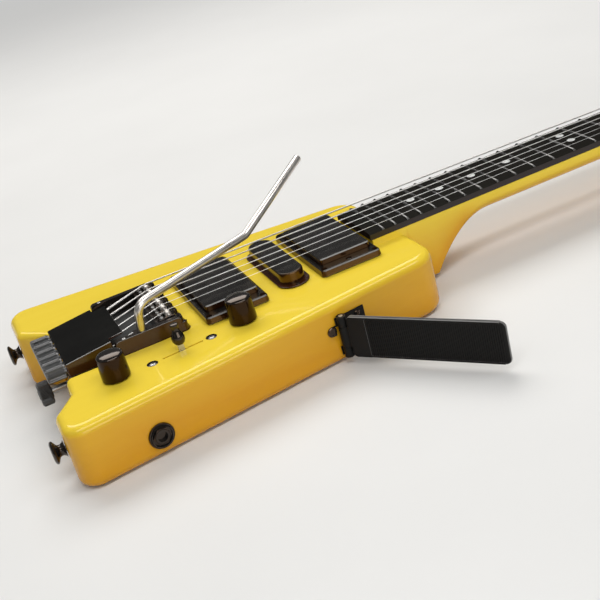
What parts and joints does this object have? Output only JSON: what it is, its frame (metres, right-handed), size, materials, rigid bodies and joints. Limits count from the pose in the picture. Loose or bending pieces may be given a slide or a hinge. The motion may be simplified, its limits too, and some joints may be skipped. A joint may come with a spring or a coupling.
{
  "type": "headless_electric_guitar",
  "caption": "headless electric guitar with a small wedge body, rocking tremolo bridge with arm and tail tuners, two twin-coil and one single-coil pickup and a fold-out leg rest",
  "frame": {"origin": "On the flat back of the body, straight below the point where the string scale ends on the saddles, midway across the neck.", "axes": "+X runs along the strings towards the headpiece, +Y towards the thick-string side, +Z out of the face with the pickups."},
  "size_m": [0.7765, 0.2783, 0.1057],
  "materials": {
    "yellow_paint": "opaque yellow lacquer, high gloss",
    "fretboard_wood": "satin",
    "black_metal": "satin",
    "steel": "plain",
    "chrome": "polished",
    "string_steel": "bright",
    "black_plastic": "gloss",
    "satin_plastic": "satin"
  },
  "bodies": {
    "guitar_body": {"neck_through_core": "yellow_paint", "body_wing_bass": "yellow_paint", "body_wing_treble": "yellow_paint", "fretboard": "fretboard_wood", "headpiece": "black_metal", "truss_rod": "steel", "control_cavity_cover": "satin_plastic", "bridge_pickup_ring": "black_plastic", "neck_pickup_ring": "black_plastic", "bridge_pickup": "satin_plastic", "middle_pickup": "satin_plastic", "neck_pickup": "satin_plastic", "volume_pot": "steel", "tone_pot": "steel", "selector_switch": "steel", "output_jack": "black_plastic", "output_jack_nut": "black_metal", "strap_button_bass": "black_metal", "strap_button_treble": "black_metal", "leg_rest_bracket": "black_metal", "pivot_post_bass": "steel", "pivot_post_treble": "steel", "spring_anchor": "steel", "tremolo_spring": "steel", "string_1": "string_steel", "string_2": "string_steel", "string_3": "string_steel", "string_4": "string_steel", "string_5": "string_steel", "string_6": "string_steel"},
    "tremolo": {"bridge_frame": "black_metal", "tuner_block": "black_metal", "bridge_cover": "black_metal", "saddle_1": "black_metal", "saddle_2": "black_metal", "saddle_3": "black_metal", "saddle_4": "black_metal", "saddle_5": "black_metal", "saddle_6": "black_metal"},
    "arm": {"tremolo_arm": "chrome"},
    "spring_knob": {"spring_tension_knob": "black_metal"},
    "tuner_1": {"tuner_knob_1": "black_metal"},
    "jaw_1": {"tuner_jaw_1": "steel"},
    "tuner_2": {"tuner_knob_2": "black_metal"},
    "jaw_2": {"tuner_jaw_2": "steel"},
    "tuner_3": {"tuner_knob_3": "black_metal"},
    "jaw_3": {"tuner_jaw_3": "steel"},
    "tuner_4": {"tuner_knob_4": "black_metal"},
    "jaw_4": {"tuner_jaw_4": "steel"},
    "tuner_5": {"tuner_knob_5": "black_metal"},
    "jaw_5": {"tuner_jaw_5": "steel"},
    "tuner_6": {"tuner_knob_6": "black_metal"},
    "jaw_6": {"tuner_jaw_6": "steel"},
    "volume_control": {"volume_knob": "black_plastic", "volume_pot_shaft": "steel"},
    "tone_control": {"tone_knob": "black_plastic", "tone_pot_shaft": "steel"},
    "selector": {"selector_lever": "steel", "selector_tip": "black_plastic"},
    "leg": {"leg_rest": "satin_plastic"}
  },
  "joints": [
    {"name": "tremolo_rock", "type": "hinge", "parent": "guitar_body", "child": "tremolo", "pos_m": [0.004, 0, 0.0435], "axis": [0, 1, 0], "range_deg": [-4, 6], "stiffness_Nm_per_rad": 25, "deforming": ["string_1", "string_2", "string_3", "string_4", "string_5", "string_6", "tremolo_spring"]},
    {"name": "arm_swing", "type": "hinge", "parent": "tremolo", "child": "arm", "pos_m": [-0.0205, -0.034, 0.0542], "axis": [0, 0, 1], "continuous": true},
    {"name": "spring_knob_turn", "type": "hinge", "parent": "tremolo", "child": "spring_knob", "pos_m": [-0.0875, 0, 0.022], "axis": [1, 0, 0], "range_deg": [-1080, 1080]},
    {"name": "tuner_turn_1", "type": "hinge", "parent": "tremolo", "child": "tuner_1", "pos_m": [-0.0875, -0.02625, 0.0445], "axis": [1, 0, 0], "range_deg": [-2250, 880]},
    {"name": "jaw_slide_1", "type": "slide", "parent": "tremolo", "child": "jaw_1", "axis": [1, 0, 0], "range_m": [-0.00152, 0.0039]},
    {"name": "tuner_turn_2", "type": "hinge", "parent": "tremolo", "child": "tuner_2", "pos_m": [-0.0875, -0.01575, 0.0445], "axis": [1, 0, 0], "range_deg": [-2250, 880]},
    {"name": "jaw_slide_2", "type": "slide", "parent": "tremolo", "child": "jaw_2", "axis": [1, 0, 0], "range_m": [-0.00152, 0.0039]},
    {"name": "tuner_turn_3", "type": "hinge", "parent": "tremolo", "child": "tuner_3", "pos_m": [-0.0875, -0.00525, 0.0445], "axis": [1, 0, 0], "range_deg": [-2250, 880]},
    {"name": "jaw_slide_3", "type": "slide", "parent": "tremolo", "child": "jaw_3", "axis": [1, 0, 0], "range_m": [-0.00152, 0.0039]},
    {"name": "tuner_turn_4", "type": "hinge", "parent": "tremolo", "child": "tuner_4", "pos_m": [-0.0875, 0.00525, 0.0445], "axis": [1, 0, 0], "range_deg": [-2250, 880]},
    {"name": "jaw_slide_4", "type": "slide", "parent": "tremolo", "child": "jaw_4", "axis": [1, 0, 0], "range_m": [-0.00152, 0.0039]},
    {"name": "tuner_turn_5", "type": "hinge", "parent": "tremolo", "child": "tuner_5", "pos_m": [-0.0875, 0.01575, 0.0445], "axis": [1, 0, 0], "range_deg": [-2250, 880]},
    {"name": "jaw_slide_5", "type": "slide", "parent": "tremolo", "child": "jaw_5", "axis": [1, 0, 0], "range_m": [-0.00152, 0.0039]},
    {"name": "tuner_turn_6", "type": "hinge", "parent": "tremolo", "child": "tuner_6", "pos_m": [-0.0875, 0.02625, 0.0445], "axis": [1, 0, 0], "range_deg": [-2250, 880]},
    {"name": "jaw_slide_6", "type": "slide", "parent": "tremolo", "child": "jaw_6", "axis": [1, 0, 0], "range_m": [-0.00152, 0.0039]},
    {"name": "volume_turn", "type": "hinge", "parent": "guitar_body", "child": "volume_control", "pos_m": [-0.0485, -0.0625, 0.0435], "axis": [0, 0, 1], "range_deg": [-150, 150]},
    {"name": "tone_turn", "type": "hinge", "parent": "guitar_body", "child": "tone_control", "pos_m": [0.041, -0.056, 0.0435], "axis": [0, 0, 1], "range_deg": [-150, 150]},
    {"name": "selector_tilt", "type": "hinge", "parent": "guitar_body", "child": "selector", "pos_m": [-0.0042, -0.06165, 0.0195], "axis": [-0.0785, 0.9969, 0], "range_deg": [-22, 22]},
    {"name": "leg_fold", "type": "hinge", "parent": "guitar_body", "child": "leg", "pos_m": [0.09597, -0.08508, 0.0196], "axis": [0, 0, 1], "range_deg": [-120, 0]}
  ],
  "couplings": [
    {"joint": "tuner_turn_1", "follows": "jaw_slide_1", "rad_per_m": -9894.8},
    {"joint": "tuner_turn_2", "follows": "jaw_slide_2", "rad_per_m": -9894.8},
    {"joint": "tuner_turn_3", "follows": "jaw_slide_3", "rad_per_m": -9894.8},
    {"joint": "tuner_turn_4", "follows": "jaw_slide_4", "rad_per_m": -9894.8},
    {"joint": "tuner_turn_5", "follows": "jaw_slide_5", "rad_per_m": -9894.8},
    {"joint": "tuner_turn_6", "follows": "jaw_slide_6", "rad_per_m": -9894.8}
  ]
}
